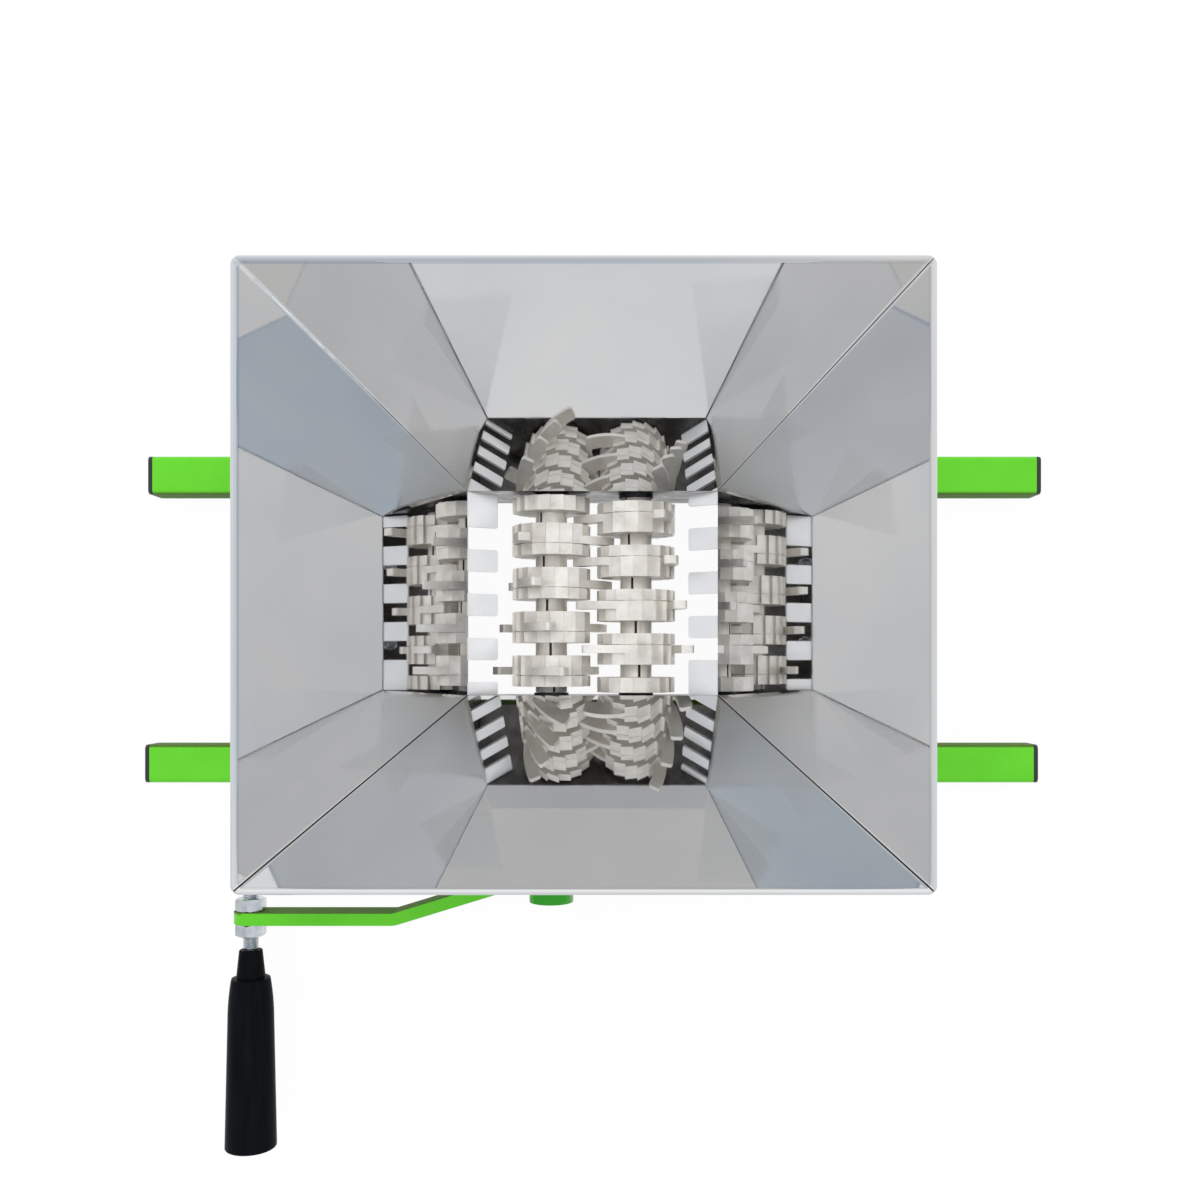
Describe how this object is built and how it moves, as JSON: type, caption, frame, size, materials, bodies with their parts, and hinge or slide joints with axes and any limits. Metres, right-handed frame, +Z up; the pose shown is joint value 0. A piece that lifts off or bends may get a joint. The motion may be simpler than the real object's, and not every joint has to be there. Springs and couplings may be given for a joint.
{
  "type": "apple scratter",
  "caption": "Hand-cranked fruit mill: geared rollers of hooked wheels under a flared steel hopper, carried on square rails and turned by a crank with a spinning grip.",
  "frame": {"origin": "middle of the outlet under the throat, on the plane that the rails rest on", "axes": "+X along the rails to the right of a person at the crank, +Y from the crank's side to the far side, +Z up out of the hopper's mouth"},
  "size_m": [0.59, 0.5078, 0.236],
  "materials": {
    "polished_steel": "polished",
    "sheet_steel": "satin",
    "dark_paint": "satin",
    "green_paint": "gloss",
    "black_plastic": "matte",
    "zinc_plate": "zinc plated",
    "shaft_steel": "turned",
    "cast_aluminium": "as cast",
    "grip_plastic": "satin"
  },
  "bodies": {
    "frame": {"hopper": "polished_steel", "left_hopper_bracket": "sheet_steel", "right_hopper_bracket": "sheet_steel", "hopper_bolts": "zinc_plate", "hopper_nuts": "zinc_plate", "left_comb": "polished_steel", "right_comb": "polished_steel", "left_side_plate": "sheet_steel", "right_side_plate": "sheet_steel", "rear_plate": "polished_steel", "front_plate": "polished_steel", "gear_plate": "dark_paint", "gear_lid": "sheet_steel", "lid_screws": "zinc_plate", "rear_rail": "green_paint", "front_rail": "green_paint", "rear_left_cap": "black_plastic", "rear_right_cap": "black_plastic", "front_left_cap": "black_plastic", "front_right_cap": "black_plastic", "rail_bolts": "zinc_plate", "rail_nuts": "zinc_plate", "rear_drive_bush": "black_plastic", "rear_driven_bush": "black_plastic", "front_drive_bush": "black_plastic", "front_driven_bush": "black_plastic", "outer_drive_bush": "black_plastic", "outer_driven_bush": "black_plastic"},
    "drive_roller": {"drive_shaft": "shaft_steel", "drive_disc": "cast_aluminium", "drive_cutter_1": "cast_aluminium", "drive_cutter_2": "cast_aluminium", "drive_cutter_3": "cast_aluminium", "drive_cutter_4": "cast_aluminium", "drive_gear": "shaft_steel", "drive_key": "shaft_steel", "drive_ring": "shaft_steel", "crank_hub": "green_paint", "crank_arm": "green_paint", "hub_bolt": "zinc_plate", "hub_nut": "zinc_plate", "grip_stud": "zinc_plate", "stud_nuts": "zinc_plate", "spindle_nut": "zinc_plate"},
    "driven_roller": {"driven_shaft": "shaft_steel", "driven_disc": "cast_aluminium", "driven_cutter_1": "cast_aluminium", "driven_cutter_2": "cast_aluminium", "driven_cutter_3": "cast_aluminium", "driven_cutter_4": "cast_aluminium", "driven_gear": "shaft_steel", "driven_key": "shaft_steel", "driven_ring": "shaft_steel"},
    "grip": {"handle_grip": "grip_plastic"}
  },
  "joints": [
    {"name": "crank_turn", "type": "hinge", "parent": "frame", "child": "drive_roller", "pos_m": [-0.027, 0, 0.048], "axis": [0, 1, 0], "continuous": true},
    {"name": "driven_turn", "type": "hinge", "parent": "frame", "child": "driven_roller", "pos_m": [0.027, 0, 0.048], "axis": [0, 1, 0], "continuous": true},
    {"name": "grip_spin", "type": "hinge", "parent": "drive_roller", "child": "grip", "pos_m": [-0.219, -0.29, 0.048], "axis": [0, 1, 0], "continuous": true}
  ],
  "couplings": [
    {"joint": "driven_turn", "follows": "crank_turn", "ratio": -1}
  ]
}
